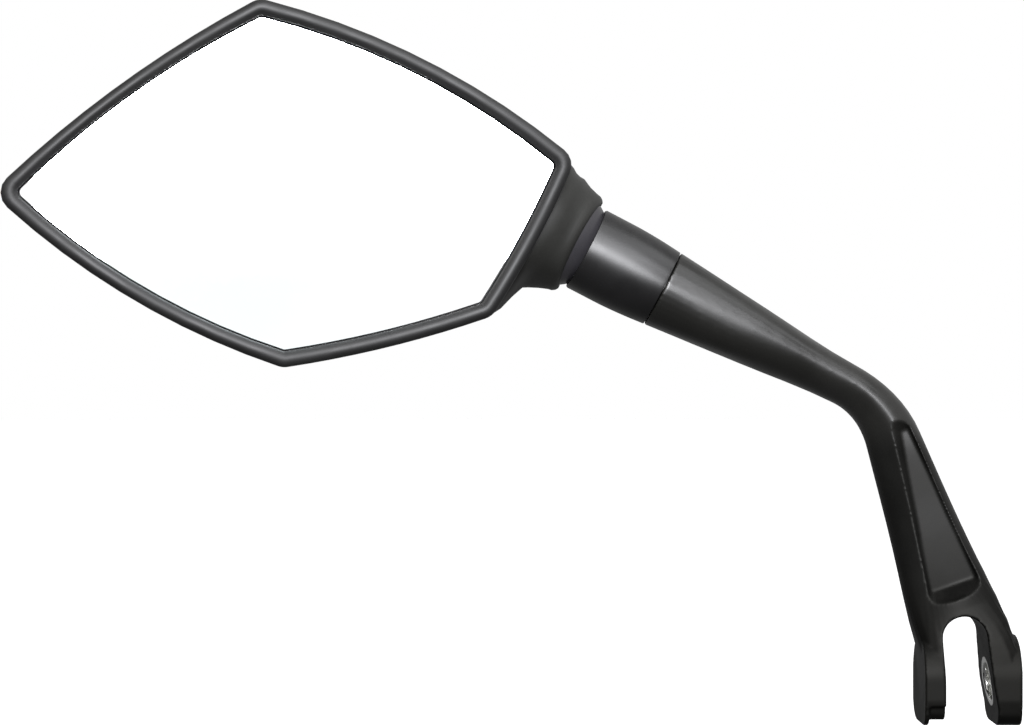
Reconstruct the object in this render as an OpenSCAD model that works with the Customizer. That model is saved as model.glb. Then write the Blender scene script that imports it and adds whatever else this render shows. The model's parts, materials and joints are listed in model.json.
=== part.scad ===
// Left-hand motorcycle mirror: forked cast arm, swivelling upper stem and a ball-mounted head.
// Frame: origin at the centre of the fork's pivot bore, bore along X, glass facing -Y, Z up.

/* [Fork at the foot of the arm] */
// Width across the two ears of the fork
fork_w = 27.8; // [25:0.2:34]
// Width of the slot at its mouth
slot_w = 14.9; // [13:0.1:17]
// Width of the slot at its round top
slot_top_w = 12.6; // [11:0.1:13.4]
// How far the slot's round top leans towards the inboard side
slot_lean = 2; // [1:0.1:3]
// Shift of the slot's mouth towards the inboard side
slot_shift = 0.45; // [0:0.05:1]
// How far the ears reach below the pivot bore
ear_drop = 11.8; // [11:0.1:15]
// Radius of the pivot bore
bore_r = 5.35; // [4:0.05:6.5]
// Wall that closes the blind end of the bore in the inboard ear
blind_wall = 1.6; // [1:0.1:3]
// Height of the slot's round end above the bore
slot_top = 19.4; // [17:0.1:24]
// How far the ears' flat front and back stand from the bore axis
ear_flat = 12.1; // [11.5:0.1:14]
// Thickness of the flange left round the foot of the inboard ear
ear_flange = 1.3; // [0.8:0.1:2.5]
// Depth of the step behind that flange
ear_step = 1.6; // [1:0.1:2.4]

/* [Arm] */
// Height above the bore where the leg's line meets the fork's line
knee_z = 9.4; // [8:0.1:13]
// Angle of the leg from the horizontal
leg_tilt = 70.8; // [66:0.1:76]
// Length of the leg, from the knee to the corner of the bend
leg_l = 75.4; // [70:0.1:100]
// Length of the upper arm, from the corner of the bend to the seam
arm_l = 71.9; // [60:0.1:90]
// Angle of the upper arm and stem below the horizontal
stem_tilt = 27.6; // [20:0.1:34]
// Radius of the bend between upper arm and leg
bend_r = 30; // [22:0.5:34]
// Radius of the knee between leg and fork
knee_r = 29; // [20:0.5:40]
// Width of the arm just before the bend
wrist_w = 12.8; // [12:0.1:16]
// Depth of the arm just before the bend, front to back
wrist_d = 13.6; // [12.5:0.1:17]
// Width of the leg just below the bend
leg_w = 16.1; // [15:0.1:20]
// Width of the leg above the fork
root_w = 26.2; // [25:0.1:27.2]
// Depth of the leg at its middle, front to back
leg_d = 14; // [13:0.1:18]

/* [Recess in the leg] */
// Distance from the corner of the bend to the head of the recess
recess_top = 5.4; // [4:0.1:14]
// Distance from the knee to the foot of the recess
recess_foot = 15.4; // [14.5:0.1:28]
// Rail left beside the recess on the inner edge of the leg
rail_inner = 6.1; // [5:0.1:7]
// Rail left beside the recess on the outer edge of the leg
rail_outer = 2.3; // [2:0.1:4]
// Distance of the recess floor in front of the leg's middle plane
recess_floor = 2.6; // [1.5:0.1:4]
// Slope of the recess walls, as width lost down to the floor
recess_draft = 2.2; // [1.5:0.1:3]

/* [Upper stem and its ball] */
// Length from the ball's centre to the seam
stem_l = 34.5; // [32:0.1:50]
// Radius of the stem behind its shoulder
stem_r = 12.55; // [12:0.05:13.5]
// Radius of stem and arm at the seam
seam_r = 11.6; // [11.4:0.1:12.4]
// Gap between the faces at the seam
seam_gap = 0.25; // [0.1:0.05:0.5]
// Radius of the ball
ball_r = 15; // [14.6:0.1:16]
// Radius of the waist between ball and shoulder
waist_r = 10.4; // [10:0.1:11.5]
// Distance of the shoulder from the ball's centre
shoulder_w = 9.5; // [9:0.1:11]
// Slope that cuts the shoulder back at front and rear, in degrees
shoulder_cut = 4.6; // [4:0.1:10]
// Distance of the ball's flat end from its centre
ball_flat = 12.4; // [11.5:0.1:13]

/* [Swivel at the seam] */
// Radius of the spigot that turns in the arm
spigot_r = 7; // [6.5:0.1:7.4]
// Length of the spigot
spigot_l = 12.15; // [10:0.05:16]
// Wall of the plain bush round the spigot
bush_wall = 0.95; // [0.8:0.05:1.3]
// Radius of the swivel screw
screw_r = 4; // [3:0.1:4]
// Radius of the swivel screw's head
screw_head_r = 6.5; // [5.5:0.1:6.8]
// Height of the swivel screw's head
screw_head_h = 7; // [5:0.5:8]
// Length of screw inside the threaded insert
insert_l = 12; // [8:0.5:16]
// Wall of the threaded insert
insert_wall = 1.45; // [1:0.05:1.8]
// Radius of the counterbore in the ball
well_r = 8.3; // [8:0.1:8.8]
// Distance of the counterbore's floor beyond the ball's centre
well_w = 6; // [4.5:0.1:7]
// Number of disc springs under the screw's head
disc_count = 4; // [2:2:4]
// Height of one disc spring as it lies
disc_h = 1.1; // [0.9:0.05:1.2]
// Thickness of a disc spring's steel
disc_t = 0.65; // [0.5:0.05:0.8]
// Radius of the stop pin
pin_r = 0.9; // [0.7:0.05:1]
// Length of the stop pin
pin_l = 7; // [5:0.5:9]
// Turn allowed each way by the stop, in degrees
swivel_turn = 40; // [20:5:60]

/* [Head outline, measured from the ball's centre] */
// Reach of the outer tip
tip_x = 159.2; // [150:0.1:175]
// Height of the outer tip
tip_z = 9.1; // [4:0.1:14]
// Reach of the upper corner
top_x = 86; // [80:0.1:95]
// Height of the upper corner
top_z = 63.6; // [58:0.1:70]
// Reach of the neck's upper corner, beyond the ball
neck_hi_x = 2.7; // [1:0.1:4]
// Height of the neck's upper corner
neck_hi_z = 19.5; // [18:0.1:22]
// Reach of the neck's lower corner
neck_lo_x = 21; // [19:0.1:24]
// Drop of the neck's lower corner
neck_lo_z = 24.6; // [23:0.1:28]
// Reach of the lower corner
low_x = 79.4; // [72:0.1:88]
// Drop of the lower corner
low_z = 39; // [36:0.1:45]
// Bow radius of the upper outer side
bow_upper_out = 325; // [250:5:450]
// Bow radius of the upper inner side
bow_upper_in = 217; // [180:1:300]
// Bow radius of the neck side
bow_neck = 290; // [200:5:500]
// Bow radius of the lower inner side
bow_lower_in = 318; // [250:1:450]
// Bow radius of the lower outer side
bow_lower_out = 212; // [180:1:300]
// Rounding of the outline's corners
corner_r = 5.6; // [5:0.1:8]

/* [Head shell] */
// Angle by which the glass is turned from square to the stem, in degrees
head_yaw = 6; // [0:0.5:8]
// Distance of the joint between rim and shell in front of the ball's centre
part_y = 20.4; // [20:0.1:23]
// Depth of the shell at the neck side
shell_h_neck = 38.5; // [36:0.5:44]
// Depth of the shell at the outer tip
shell_h_tip = 25; // [20:0.5:32]
// Wall of the shell
wall = 2.4; // [2:0.1:2.6]
// Reach of the shell's deepest point from the ball's centre
deep_x = 52; // [45:1:62]
// Height of the shell's deepest point
deep_z = 6; // [2:0.5:12]
// Radius of the collar just behind its lip
collar_r = 15.5; // [15.4:0.1:16.2]
// Distance of the collar's lip from the ball's centre
lip_w = 7.9; // [7.4:0.1:8.2]
// Slope that cuts the lip back at front and rear, in degrees
lip_cut = 6.4; // [4:0.1:10]
// Radius of the neck over the ball's centre
neck_r = 17.8; // [17.4:0.1:18.6]

/* [Rim and glass] */
// Width of the rim seen from the front
rim_w = 4.5; // [4.2:0.1:5.4]
// Height of the rim in front of its joint with the shell
rim_h = 5.4; // [5:0.1:7]
// Depth of the tongue that enters the shell
tongue_h = 1.8; // [1:0.1:2]
// Thickness of the tongue
tongue_t = 1.4; // [1:0.1:1.6]
// Gap between the glass and the rim
glass_gap = 0.4; // [0.3:0.1:1]
// Thickness of the glass
glass_t = 2; // [1.8:0.1:3]
// Thickness of the foam pad behind the glass
pad_t = 0.8; // [0.5:0.1:1.2]
// Thickness of the plate that carries the glass
carrier_t = 2; // [1.5:0.1:2.4]
// Radius of the posts that hold the plate
post_r = 3.2; // [2.8:0.1:4]
// Radius of the plate's screws
post_screw_r = 1.25; // [1:0.05:1.5]

/* [Ball clamp] */
// Thickness of the plastic liner between ball and clamp
liner_t = 1; // [0.8:0.1:1.2]
// Wall of the clamp's cup
clamp_wall = 1.5; // [1.3:0.1:1.6]
// Thickness of the clamp's bridge
bridge_t = 2.5; // [2:0.1:2.7]
// Width of the clamp's bridge
bridge_w = 9; // [8:0.5:11]
// Distance of the clamp screws from the stem's axis
clamp_reach = 16.2; // [16:0.1:16.4]
// Angle by which the clamp is turned about the stem's axis, in degrees
clamp_turn = 40; // [36:1:44]
// Radius of the clamp screws
clamp_screw_r = 1.25; // [1:0.05:1.3]
// Radius of the bosses that take the clamp screws
boss_r = 2.4; // [2.2:0.1:2.5]
// Wire radius of the clamp springs
wire_r = 0.35; // [0.3:0.05:0.4]
// Turns of a clamp spring
spring_turns = 4; // [3:1:5]

/* [Fits] */
// Radial clearance between turning faces
run_fit = 0.06; // [0.03:0.01:0.1]
// Clearance between fixed pieces
seat_fit = 0.05; // [0.02:0.01:0.1]

/* [Hidden] */
$fn = 72;
eps = 0.01;

black_paint = [0.09, 0.09, 0.09];
black_plastic = [0.13, 0.13, 0.13];
zinc = [0.72, 0.72, 0.7];
steel = [0.6, 0.6, 0.62];

// The arm's line: fork upwards to the knee, leg, bend, upper arm, seam, ball centre
leg_dir = [-cos(leg_tilt), sin(leg_tilt)];
stem_dir = [-cos(stem_tilt), sin(stem_tilt)];
knee_p = [0, knee_z];
bend_p = knee_p + leg_l * leg_dir;
seam_p = bend_p + arm_l * stem_dir;
ball_p = seam_p + stem_l * stem_dir;
bend_turn = leg_tilt - stem_tilt;
knee_turn = 90 - leg_tilt;
bend_cut = bend_r * tan(bend_turn / 2);
knee_cut = knee_r * tan(knee_turn / 2);
upper_run = arm_l - seam_gap - bend_cut;
bend_run = bend_r * bend_turn * PI / 180;
leg_run = leg_l - bend_cut - knee_cut;
knee_run = knee_r * knee_turn * PI / 180;
bend_s = upper_run + bend_run;
knee_s = bend_s + leg_run;
fork_s = knee_s + knee_run;
end_s = fork_s + knee_z - knee_cut;

// Sections of the arm
arm_points = 40;
ear_proud = 0.15;
ear_top = 1.5;
body_half = fork_w / 2 - ear_proud;

// Radii and places in the swivel, along the stem's axis from the ball's centre
bush_r = spigot_r + run_fit + bush_wall;
spigot_end = stem_l + spigot_l;
socket_end = spigot_end + 0.05;
seal_r = 0.78;
seal_depth = 2.2;
insert_w = socket_end + 0.5;
insert_r = screw_r + seat_fit + insert_wall;
washer_t = 1.2;
washer_r = well_r - 0.4;
stack_gap = 0.05;
disc_w = well_w - washer_t - stack_gap;
pressure_w = disc_w - disc_count * (disc_h + stack_gap);
screw_w = pressure_w - washer_t - seat_fit;
screw_bore = screw_r + 0.25;
pin_reach = 9.9;
pin_out = 2;
pin_half_angle = asin(pin_r / pin_reach);
pin_slot_half = swivel_turn + pin_half_angle + 0.6;

// Ball, liner and clamp radii
socket_r = ball_r + 0.1;
liner_in = ball_r + run_fit;
liner_out = liner_in + liner_t;
cup_in = liner_out + run_fit;
cup_out = cup_in + clamp_wall;
liner_mouth = -4.6;
cup_mouth = -7.6;
pole_hole = 8;
boss_top = -12.5;
lug_r = 2.6;
bridge_top = boss_top - 0.5;
bridge_back = bridge_top - bridge_t;
clamp_washer_t = 0.6;
spring_from = bridge_back - seat_fit - clamp_washer_t - 0.05;
spring_l = 3.4;
clamp_head_w = spring_from - spring_l - 0.05;
clamp_head_h = 1.5;

// Planes of the head, in its own frame, as Y values
glass_front = -part_y - rim_h + 2.4;
glass_back = glass_front + glass_t;
pad_back = glass_back + pad_t;
carrier_back = pad_back + carrier_t;
shell_gap = 0.1;
tongue_in = wall + 0.3;
carrier_in = tongue_in + tongue_t + 0.3;

// Outline corners in order round the head, seen from the front, with the side that leaves each
corners = [[-tip_x, tip_z], [-low_x, -low_z], [-neck_lo_x, -neck_lo_z], [neck_hi_x, neck_hi_z],
    [-top_x, top_z]];
bows = [bow_lower_out, bow_lower_in, bow_neck, bow_upper_in, bow_upper_out];
tighten = [3.6, 3, 3, 2.6, 14];
corner_steps = 4;
side_steps = 9;
middle = (corners[0] + corners[1] + corners[2] + corners[3] + corners[4]) / 5;
post_share = [0.2, 0.24, 0.36, undef, 0.26];
post_spots = [for (i = [0, 1, 2, 4]) corners[i] + (middle - corners[i]) * post_share[i]];

// Radius of a bow on the outline drawn in by an inset: inner bows are rounder than outer ones
function bow_r(i, inset) = bows[i] - tighten[i] * inset;

// Centre of the bow that runs from one corner to the next
function bow_centre(i, inset) =
    let (p = corners[i], q = corners[(i + 1) % 5], chord = q - p, c = norm(chord), r = bow_r(i, inset) + inset)
    (p + q) / 2 + [-chord[1], chord[0]] / c * sqrt(r * r - c * c / 4);

// Meeting point, nearest to a third point, of two circles
function circles_meet(c1, r1, c2, r2, near) =
    let (v = c2 - c1, d = norm(v), a = (r1 * r1 - r2 * r2 + d * d) / (2 * d),
        h = sqrt(max(0, r1 * r1 - a * a)), m = c1 + v * a / d, s = [-v[1], v[0]] * h / d,
        q1 = m + s, q2 = m - s)
    norm(q1 - near) < norm(q2 - near) ? q1 : q2;

function heading(v) = atan2(v[1], v[0]);
function turn_to(a, b) = let (t = (b - a + 720) % 360) t > 180 ? t - 360 : t;
function corner_round(inset) = max(corner_r - inset * 0.8, 1.6);

// Centre of the rounding at a corner of the outline drawn in by an inset
function round_centre(i, inset) =
    let (k = (i + 4) % 5, rc = corner_round(inset))
    circles_meet(bow_centre(k, inset), bow_r(k, inset) - rc, bow_centre(i, inset), bow_r(i, inset) - rc, corners[i]);

// The whole outline drawn in by an inset, anticlockwise seen from the front
function outline(inset) = [for (i = [0:4])
    let (k = (i + 4) % 5, j = (i + 1) % 5, rc = corner_round(inset),
        f = round_centre(i, inset), g = round_centre(j, inset), c = bow_centre(i, inset),
        a0 = heading(f - bow_centre(k, inset)), a1 = heading(f - c), da = turn_to(a0, a1),
        db = turn_to(a1, heading(g - c)))
    each concat(
        [for (t = [0:corner_steps]) let (a = a0 + da * t / corner_steps) f + rc * [cos(a), sin(a)]],
        [for (t = [1:side_steps - 1])
            let (a = a1 + db * t / side_steps) c + bow_r(i, inset) * [cos(a), sin(a)]])];

// Smooth curve through a table of [place, value] pairs
function slope_at(tab, i) =
    let (a = max(i - 1, 0), b = min(i + 1, len(tab) - 1)) (tab[b][1] - tab[a][1]) / (tab[b][0] - tab[a][0]);
function find_span(tab, x, i = 0) = i >= len(tab) - 2 || x <= tab[i + 1][0] ? i : find_span(tab, x, i + 1);
function curve(tab, x) =
    let (i = find_span(tab, x), h = tab[i + 1][0] - tab[i][0], t = min(max((x - tab[i][0]) / h, 0), 1),
        m0 = slope_at(tab, i) * h, m1 = slope_at(tab, i + 1) * h)
    (2 * t ^ 3 - 3 * t ^ 2 + 1) * tab[i][1] + (t ^ 3 - 2 * t ^ 2 + t) * m0
        + (3 * t ^ 2 - 2 * t ^ 3) * tab[i + 1][1] + (t ^ 3 - t ^ 2) * m1;

// Skin over a list of rings that all have the same number of points, with a point closing each end
module capped_skin(rings, first_p, last_p) {
    m = len(rings[0]);
    n = len(rings);
    pts = concat([for (ring = rings) each ring], [first_p, last_p]);
    sides = [for (i = [0:n - 2], j = [0:m - 1])
        let (a = i * m + j, b = i * m + (j + 1) % m)
        each [[a, b, b + m], [a, b + m, a + m]]];
    first = [for (j = [0:m - 1]) [(j + 1) % m, j, n * m]];
    last = [for (j = [0:m - 1]) [(n - 1) * m + j, (n - 1) * m + (j + 1) % m, n * m + 1]];
    polyhedron(points = pts, faces = concat(sides, first, last));
}

// A band of rings closed on itself both ways
module closed_band(rings) {
    m = len(rings[0]);
    n = len(rings);
    pts = [for (ring = rings) each ring];
    polyhedron(points = pts, faces = [for (i = [0:n - 1], j = [0:m - 1])
        let (a = i * m + j, b = i * m + (j + 1) % m, k = (i + 1) % n * m - i * m)
        each [[a, b + k, b], [a, a + k, b + k]]]);
}

// Frame of the stem: Z runs from the ball towards the arm, X points down the picture
module on_stem() {
    translate([ball_p[0], 0, ball_p[1]]) rotate([0, 90 + stem_tilt, 0]) children();
}

// Frame of the clamp: the stem's, turned so that both screws fit inside the neck
module on_clamp() {
    on_stem() rotate([0, 0, clamp_turn]) children();
}

// Frame of the head: origin at the ball's centre, glass facing -Y
module on_head() {
    translate([ball_p[0], 0, ball_p[1]]) rotate([0, 0, head_yaw]) children();
}

module ring(r_out, r_in, h) {
    difference() {
        cylinder(r = r_out, h = h);
        translate([0, 0, -1]) cylinder(r = r_in, h = h + 2);
    }
}

// Place along the arm's line: [point, heading] at a distance from the seam
function arm_line(s) =
    s <= upper_run ? [seam_p - (s + seam_gap) * stem_dir, -stem_tilt] :
    s <= bend_s ?
        let (t = (s - upper_run) / bend_r * 180 / PI, q = bend_p + bend_cut * stem_dir,
            c = q + bend_r * [-sin(stem_tilt), -cos(stem_tilt)], a = 90 - stem_tilt - t)
        [c + bend_r * [cos(a), sin(a)], -stem_tilt - t] :
    s <= knee_s ? [bend_p - (bend_cut + s - bend_s) * leg_dir, -leg_tilt] :
    s <= fork_s ?
        let (t = (s - knee_s) / knee_r * 180 / PI, q = knee_p + knee_cut * leg_dir,
            c = q + knee_r * [-sin(leg_tilt), -cos(leg_tilt)], a = 90 - leg_tilt - t)
        [c + knee_r * [cos(a), sin(a)], -leg_tilt - t] :
    [[0, end_s - s], -90];

// Half width, half depth, edge sharpness and ridge strength along the arm
width_tab = [[0, seam_r], [upper_run * 0.5, (seam_r + wrist_w / 2) / 2], [upper_run, wrist_w / 2],
    [bend_s, leg_w / 2], [bend_s + leg_run * 0.5, (leg_w + root_w) / 4 + 0.1], [knee_s - 6, root_w / 2],
    [fork_s, body_half - 0.15], [end_s, body_half]];
depth_tab = [[0, seam_r], [upper_run * 0.5, (seam_r + wrist_d / 2) / 2], [upper_run, wrist_d / 2],
    [bend_s, wrist_d / 2], [bend_s + leg_run * 0.5, leg_d / 2], [knee_s - 6, leg_d / 2 + 1.4],
    [fork_s, ear_flat - 0.5], [end_s, ear_flat - ear_proud]];
edge_tab = [[0, 2], [upper_run * 0.5, 2.6], [upper_run, 4], [bend_s, 5], [knee_s, 6], [fork_s, 11], [end_s, 14]];
ridge_tab = [[0, 0], [upper_run * 0.4, 0.55], [upper_run * 0.8, 1], [bend_s, 1],
    [bend_s + leg_run * 0.6, 0.8], [knee_s, 0.25], [fork_s, 0], [end_s, 0]];
ridge_angle = 38;
ridge_shift = 0.14;

// Radius of the arm's section at an angle: sides, back and two front faces that meet in a ridge
function section_r(a, hw, hd, p, k) =
    let (f = ridge_angle * k, u = ridge_shift * k * hw,
        d1 = u * sin(f) + hd * cos(f), d2 = -u * sin(f) + hd * cos(f),
        sides = abs(cos(a)) / hw, back = max(0, -sin(a)) / hd,
        face1 = max(0, cos(a - 90 + f)) / d1, face2 = max(0, cos(a - 90 - f)) / d2)
    (sides ^ p + back ^ p + (face1 ^ p + face2 ^ p) / 2) ^ (-1 / p);

function arm_ring(s) =
    let (at = arm_line(s), q = at[0], h = at[1], hw = curve(width_tab, s), hd = curve(depth_tab, s),
        p = curve(edge_tab, s), k = curve(ridge_tab, s))
    [for (i = [0:arm_points - 1])
        let (a = -360 * i / arm_points, r = section_r(a, hw, hd, p, k), u = r * cos(a))
        [q[0] - u * sin(h), -r * sin(a), q[1] + u * cos(h)]];

function arm_end(s) = let (q = arm_line(s)[0]) [q[0], 0, q[1]];

arm_stations = concat(
    [for (i = [0:8]) upper_run * i / 8],
    [for (i = [1:8]) upper_run + bend_run * i / 8],
    [for (i = [1:8]) bend_s + leg_run * i / 8],
    [for (i = [1:3]) knee_s + knee_run * i / 3],
    [end_s]);

// Side view of an ear: flat front and back, a round top, its lower end rounded off
module ear_side(inset) {
    hull() {
        translate([4.5 + 0.5 - ear_flat, 4.5 - ear_drop]) circle(r = 4.5 - inset);
        translate([ear_flat - 7, 7 - ear_drop]) circle(r = 7 - inset);
        translate([inset - ear_flat, -4.4]) square([2 * (ear_flat - inset), 4.4]);
        translate([0, ear_top]) circle(r = ear_flat - inset);
    }
}

module ears() {
    translate([-fork_w / 2, 0, 0]) rotate([90, 0, 90]) linear_extrude(fork_w) ear_side(0);
}

// Slot with a round top, open downwards, through from front to back
module fork_slot() {
    left = -slot_shift - slot_w / 2;
    right = left + slot_w;
    r = slot_top_w / 2;
    mid = slot_top - r;
    rotate([90, 0, 0]) linear_extrude(4 * ear_drop, center = true) {
        translate([-slot_lean, mid]) circle(r = r);
        polygon([[-slot_lean - r, mid], [left, 0], [left, -2 * ear_drop], [right, -2 * ear_drop],
            [right, -ear_drop * 0.6], [right - 1.3, 0], [r - slot_lean, mid]]);
    }
}

// Step that leaves a flange round the foot of the inboard ear
module foot_step() {
    x0 = ear_flange - fork_w / 2;
    difference() {
        translate([x0, -2 * ear_flat, -2 * ear_drop]) cube([-x0, 4 * ear_flat, 2 * ear_drop - 4.4 - ear_step]);
        translate([-fork_w, 0, 0]) rotate([90, 0, 90]) linear_extrude(2 * fork_w) ear_side(ear_step);
    }
}

module pivot_bore() {
    x0 = blind_wall - fork_w / 2;
    translate([x0, 0, 0]) rotate([0, 90, 0]) cylinder(r = bore_r, h = fork_w);
}

// Two round corners of the recess across the leg, between two places in Y
module recess_end(s, inner, outer, r, y0, y1) {
    at = arm_line(s);
    for (u = [inner + r, outer - r])
        translate([at[0][0] - u * sin(at[1]), y0, at[0][1] + u * cos(at[1])]) rotate([-90, 0, 0])
            cylinder(r1 = r, r2 = r - 0.05, h = y1 - y0, $fn = 24);
}

// Recess in the front of the leg: steep outboard wall, wide slopes on the inboard side and at both ends
module leg_recess() {
    s0 = bend_s - bend_cut + recess_top;
    s1 = knee_s + knee_cut - recess_foot;
    w0 = curve(width_tab, s0);
    w1 = curve(width_tab, s1);
    front = -2 * leg_d;
    mouth = -leg_d / 2 - 0.4;
    hull() {
        recess_end(s0 + 2.7, rail_inner + 0.4 - w0, w0 - rail_outer + 0.35, 2.7, front, mouth);
        recess_end(s1 - 2.4, rail_inner - 0.3 - w1, w1 - rail_outer, 2.4, front, mouth);
        recess_end(s0 + recess_draft * 2.2, rail_inner + recess_draft * 1.5 - w0, w0 - rail_outer - 0.3, 1,
            -recess_floor - 0.4, -recess_floor);
        recess_end(s1 - recess_draft * 2.2, rail_inner + recess_draft * 0.8 - w1, w1 - rail_outer - recess_draft * 0.7, 1.2,
            -recess_floor - 0.4, -recess_floor);
    }
}

module arm() {
    color(black_paint) difference() {
        union() {
            capped_skin([for (s = arm_stations) arm_ring(s)], arm_end(0), arm_end(end_s));
            ears();
        }
        fork_slot();
        foot_step();
        pivot_bore();
        leg_recess();
        on_stem() {
            translate([0, 0, stem_l]) cylinder(r = bush_r + seat_fit, h = socket_end - stem_l);
            translate([0, 0, stem_l]) cylinder(r = spigot_r + 2 * seal_r + 0.12, h = seal_depth + seam_gap);
            translate([0, 0, stem_l]) cylinder(r = insert_r + 0.02, h = insert_w + insert_l - stem_l);
            translate([0, 0, stem_l]) cylinder(r = screw_r + 0.3, h = insert_w + insert_l + 1.5 - stem_l);
            translate([0, pin_reach, stem_l]) cylinder(r = pin_r + 0.01, h = seam_gap + pin_l - pin_out);
        }
    }
}

module screw_insert() {
    color(steel) on_stem() translate([0, 0, insert_w]) ring(insert_r, screw_r + seat_fit, insert_l);
}

module swivel_bush() {
    w0 = stem_l + seam_gap + seal_depth + seat_fit;
    color([0.85, 0.84, 0.8]) on_stem() translate([0, 0, w0])
        ring(bush_r, spigot_r + run_fit, socket_end - w0 - seat_fit);
}

module stop_pin() {
    w0 = stem_l + seam_gap - pin_out;
    color(steel) on_stem() translate([0, pin_reach, w0]) cylinder(r = pin_r, h = pin_l);
}

module swivel_screw() {
    tip = insert_w + insert_l + 1;
    color(steel) on_stem() difference() {
        rotate_extrude() polygon([[0, screw_w - screw_head_h], [screw_head_r - 0.6, screw_w - screw_head_h],
            [screw_head_r, screw_w - screw_head_h + 0.6], [screw_head_r, screw_w], [screw_r, screw_w],
            [screw_r, tip - 0.8], [screw_r - 0.8, tip], [0, tip]]);
        translate([0, 0, screw_w - screw_head_h - 1]) cylinder(r = screw_r * 0.85, h = screw_head_h * 0.6 + 1, $fn = 6);
    }
}

module pressure_washer() {
    color(steel) on_stem() translate([0, 0, pressure_w - washer_t]) ring(washer_r, screw_bore, washer_t);
}

// Cone-shaped steel washers stacked in pairs, each pair mouth to mouth
module disc_springs() {
    color([0.35, 0.37, 0.42]) on_stem() for (i = [0:disc_count - 1]) {
        rise = disc_h - disc_t;
        up = i % 2 == 0 ? 0 : 1;
        translate([0, 0, disc_w - (i + 1) * (disc_h + stack_gap) + stack_gap]) rotate_extrude()
            polygon([[screw_bore, up * rise], [washer_r, (1 - up) * rise],
                [washer_r, (1 - up) * rise + disc_t], [screw_bore, up * rise + disc_t]]);
    }
}

// Outside of the stem from shoulder to seam, turned round its axis
module stem_body() {
    edge = 0.7;
    taper_w = shoulder_w + (stem_l - shoulder_w) * 0.5;
    bend_w = (stem_l - taper_w) / 4;
    rotate_extrude() polygon(concat([[0, shoulder_w]],
        [for (i = [0:4]) let (a = 90 * i / 4)
            [stem_r - 0.25 - edge + edge * sin(a), shoulder_w + edge - edge * cos(a)]],
        [[stem_r, shoulder_w + 3], [stem_r, taper_w - bend_w], [stem_r - 0.03, taper_w],
            [stem_r - (stem_r - seam_r) * 0.16, taper_w + bend_w], [seam_r, stem_l], [0, stem_l]]));
}

// Slanted cuts that open the shoulder at front and rear so that the head can turn
module shoulder_cuts() {
    for (side = [0, 180]) rotate([0, 0, side]) translate([0, 0, shoulder_w]) rotate([shoulder_cut, 0, 0])
        translate([-2 * stem_r, 0, -stem_r]) cube([4 * stem_r, 2 * stem_r, stem_r]);
}

module upper_stem() {
    color(black_paint) on_stem() difference() {
        union() {
            difference() {
                sphere(r = ball_r, $fn = 96);
                translate([-ball_r, -ball_r, -2 * ball_r - ball_flat]) cube(2 * ball_r);
            }
            difference() {
                stem_body();
                shoulder_cuts();
            }
            cylinder(r = waist_r, h = shoulder_w + 6);
            translate([0, 0, stem_l - 1]) cylinder(r = spigot_r, h = spigot_l + 1);
        }
        translate([0, 0, -ball_r]) cylinder(r = well_r, h = ball_r + well_w);
        cylinder(r = screw_bore, h = 2 * stem_l);
        translate([0, 0, stem_l - pin_out - 0.2]) rotate([0, 0, 90 - pin_slot_half])
            rotate_extrude(angle = 2 * pin_slot_half)
            translate([pin_reach - pin_r - 0.1, 0]) square([2 * pin_r + 0.2, pin_out + 1]);
    }
}

module seam_seal() {
    color([0.05, 0.05, 0.05]) on_stem() translate([0, 0, stem_l + seam_gap + seal_r + 0.3])
        rotate_extrude() translate([spigot_r + seal_r + 0.06, 0]) circle(r = seal_r, $fn = 32);
}

module thrust_washer() {
    color([0.8, 0.62, 0.3]) on_stem() translate([0, 0, well_w - washer_t]) ring(washer_r, screw_bore, washer_t);
}

module ball_liner() {
    color([0.88, 0.87, 0.82]) on_stem() difference() {
        sphere(r = liner_out, $fn = 96);
        sphere(r = liner_in, $fn = 96);
        translate([-2 * ball_r, -2 * ball_r, liner_mouth]) cube(4 * ball_r);
        translate([0, 0, -2 * ball_r]) cylinder(r = pole_hole + 0.6, h = 2 * ball_r);
    }
}

// Shell sections: the outline drawn towards the deepest point, and rounded, as the depth grows
function shell_depth(x) = shell_h_tip + (shell_h_neck - shell_h_tip) * min(max((x + tip_x) / (tip_x - 20), 0), 1);
function shell_ring(a, inset) =
    let (deep = [-deep_x, deep_z], s = cos(a) ^ (2 / 2.7), f = sin(a) ^ (2 / 2.1))
    [for (q = outline(inset)) let (v = q - round_mid, b = heading([v[0] / round_half[0], v[1] / round_half[1]]),
        e = round_mid + [(round_half[0] - inset) * cos(b), (round_half[1] - inset) * sin(b)],
        p = deep + (q + (e - q) * 0.7 * f ^ 2 - deep) * s)
        [p[0], shell_gap - part_y + (shell_depth(p[0]) - inset - shell_gap) * f, p[1]]];
shell_steps = 8;
round_mid = [-(tip_x + neck_lo_x) / 2 + 12, (top_z - low_z) / 2 - 2];
round_half = [(tip_x - neck_lo_x) / 2 + 2, (top_z + low_z) / 2 - 6];
shell_angles = [for (i = [0:shell_steps - 1]) 86 * sin(90 * i / (shell_steps - 1)) ^ 1.2];

module shell_form(inset, lead) {
    deep_y = shell_gap - part_y + shell_depth(-deep_x) - inset - shell_gap;
    front = [for (q = outline(inset)) [q[0], -part_y + shell_gap - lead, q[1]]];
    rings = [for (a = shell_angles) if (a > 0) shell_ring(a, inset)];
    straight = inset < wall ? [] : [[for (q = outline(inset)) [q[0], -part_y + tongue_h + 0.5, q[1]]]];
    capped_skin(concat([front], straight, rings), [-deep_x, front[0][1], deep_z], [-deep_x, deep_y, deep_z]);
}

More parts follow.
